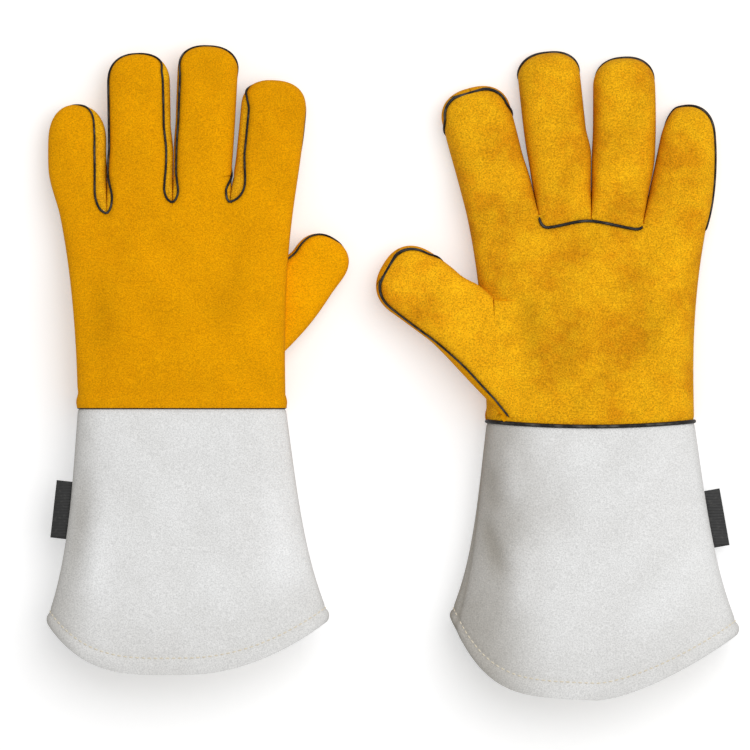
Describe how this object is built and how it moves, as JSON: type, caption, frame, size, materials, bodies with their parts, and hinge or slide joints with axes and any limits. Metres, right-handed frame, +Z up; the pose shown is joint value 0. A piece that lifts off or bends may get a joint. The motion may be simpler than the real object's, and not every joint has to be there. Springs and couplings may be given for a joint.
{
  "type": "welding gloves",
  "caption": "Pair of lined split-leather welding gauntlets with welted seams and flared cuffs, lying flat, that shield a welder's hands and forearms from heat and spatter.",
  "frame": {"origin": "on the floor, under the middle of the pair's bounding box", "axes": "+X from the first glove to the second, +Y from the cuffs to the fingertips, +Z up from the floor"},
  "size_m": [0.386, 0.3622, 0.051],
  "materials": {
    "gold_leather": "napped split cowhide",
    "grey_leather": "napped split cowhide",
    "welt": "smooth welt",
    "lining": "cotton fleece",
    "tab_ribbon": "woven ribbon"
  },
  "bodies": {
    "glove1_cuff": {"glove1_cuff_back_panel": "grey_leather", "glove1_cuff_palm_panel": "grey_leather", "glove1_cuff_lining": "lining"},
    "glove1_hand": {"glove1_back_panel": "gold_leather", "glove1_palm_panel": "gold_leather", "glove1_hand_lining": "lining", "glove1_wrist_welt": "welt", "glove1_side_welt": "welt", "glove1_finger_base_welt": "welt"},
    "glove1_index": {"glove1_index_back": "gold_leather", "glove1_index_front": "gold_leather", "glove1_index_welt": "welt", "glove1_index_lining": "lining"},
    "glove1_middle": {"glove1_middle_back": "gold_leather", "glove1_middle_front": "gold_leather", "glove1_middle_welt": "welt", "glove1_middle_lining": "lining"},
    "glove1_ring": {"glove1_ring_back": "gold_leather", "glove1_ring_front": "gold_leather", "glove1_ring_welt": "welt", "glove1_ring_lining": "lining"},
    "glove1_little": {"glove1_little_back": "gold_leather", "glove1_little_front": "gold_leather", "glove1_little_welt": "welt", "glove1_little_lining": "lining"},
    "glove1_thumb": {"glove1_thumb_back": "gold_leather", "glove1_thumb_front": "gold_leather", "glove1_thumb_welt": "welt", "glove1_thumb_lining": "lining"},
    "glove1_tab": {"glove1_tab": "tab_ribbon"},
    "glove2_cuff": {"glove2_cuff_back_panel": "grey_leather", "glove2_cuff_palm_panel": "grey_leather", "glove2_cuff_lining": "lining"},
    "glove2_hand": {"glove2_back_panel": "gold_leather", "glove2_palm_panel": "gold_leather", "glove2_hand_lining": "lining", "glove2_wrist_welt": "welt", "glove2_side_welt": "welt", "glove2_finger_base_welt": "welt"},
    "glove2_index": {"glove2_index_back": "gold_leather", "glove2_index_front": "gold_leather", "glove2_index_welt": "welt", "glove2_index_lining": "lining"},
    "glove2_middle": {"glove2_middle_back": "gold_leather", "glove2_middle_front": "gold_leather", "glove2_middle_welt": "welt", "glove2_middle_lining": "lining"},
    "glove2_ring": {"glove2_ring_back": "gold_leather", "glove2_ring_front": "gold_leather", "glove2_ring_welt": "welt", "glove2_ring_lining": "lining"},
    "glove2_little": {"glove2_little_back": "gold_leather", "glove2_little_front": "gold_leather", "glove2_little_welt": "welt", "glove2_little_lining": "lining"},
    "glove2_thumb": {"glove2_thumb_back": "gold_leather", "glove2_thumb_front": "gold_leather", "glove2_thumb_welt": "welt", "glove2_thumb_lining": "lining"},
    "glove2_tab": {"glove2_tab": "tab_ribbon"}
  },
  "joints": [
    {"name": "glove1_wrist_fold", "type": "hinge", "parent": "glove1_cuff", "child": "glove1_hand", "pos_m": [-0.11701, -0.01982, 0.041], "axis": [1, 0, 0], "range_deg": [0, 40]},
    {"name": "glove1_index_fold", "type": "hinge", "parent": "glove1_hand", "child": "glove1_index", "pos_m": [-0.07242, 0.09513, 0.028], "axis": [0.9971, -0.0767, 0], "range_deg": [0, 60]},
    {"name": "glove1_middle_fold", "type": "hinge", "parent": "glove1_hand", "child": "glove1_middle", "pos_m": [-0.10631, 0.09228, 0.028], "axis": [0.9996, -0.0289, 0], "range_deg": [0, 60]},
    {"name": "glove1_ring_fold", "type": "hinge", "parent": "glove1_hand", "child": "glove1_ring", "pos_m": [-0.14043, 0.08942, 0.028], "axis": [1, -0.0017, 0], "range_deg": [0, 60]},
    {"name": "glove1_little_fold", "type": "hinge", "parent": "glove1_hand", "child": "glove1_little", "pos_m": [-0.17158, 0.0868, 0.028], "axis": [1, 0.007, 0], "range_deg": [0, 60]},
    {"name": "glove1_thumb_fold", "type": "hinge", "parent": "glove1_hand", "child": "glove1_thumb", "pos_m": [-0.05961, 0.02918, 0.0237], "axis": [0, -1, 0], "range_deg": [0, 45]},
    {"name": "glove1_tab_fold", "type": "hinge", "parent": "glove1_cuff", "child": "glove1_tab", "pos_m": [-0.18009, -0.07669, 0.0269], "axis": [0.1109, 0.9938, 0], "range_deg": [-50, 50], "stiffness_Nm_per_rad": 0.0002},
    {"name": "glove2_slide", "type": "slide", "parent": "glove1_cuff", "child": "glove2_cuff", "axis": [1, 0, 0], "range_m": [0, 0.12]},
    {"name": "glove2_wrist_fold", "type": "hinge", "parent": "glove2_cuff", "child": "glove2_hand", "pos_m": [0.10939, -0.02742, 0.041], "axis": [1, 0, 0], "range_deg": [0, 40]},
    {"name": "glove2_index_fold", "type": "hinge", "parent": "glove2_hand", "child": "glove2_index", "pos_m": [0.06055, 0.08747, 0.028], "axis": [0.9806, 0.1959, 0], "range_deg": [0, 75]},
    {"name": "glove2_middle_fold", "type": "hinge", "parent": "glove2_hand", "child": "glove2_middle", "pos_m": [0.09518, 0.08456, 0.028], "axis": [0.9983, 0.059, 0], "range_deg": [0, 75]},
    {"name": "glove2_ring_fold", "type": "hinge", "parent": "glove2_hand", "child": "glove2_ring", "pos_m": [0.12383, 0.08215, 0.028], "axis": [0.9973, -0.0731, 0], "range_deg": [0, 75]},
    {"name": "glove2_little_fold", "type": "hinge", "parent": "glove2_hand", "child": "glove2_little", "pos_m": [0.15572, 0.07948, 0.028], "axis": [0.9781, -0.2079, 0], "range_deg": [0, 75]},
    {"name": "glove2_thumb_fold", "type": "hinge", "parent": "glove2_hand", "child": "glove2_thumb", "pos_m": [0.05017, 0.01408, 0.0377], "axis": [0, 1, 0], "range_deg": [0, 45]},
    {"name": "glove2_tab_fold", "type": "hinge", "parent": "glove2_cuff", "child": "glove2_tab", "pos_m": [0.17592, -0.08176, 0.01579], "axis": [-0.1743, 0.9847, 0], "range_deg": [-50, 50], "stiffness_Nm_per_rad": 0.0002}
  ]
}
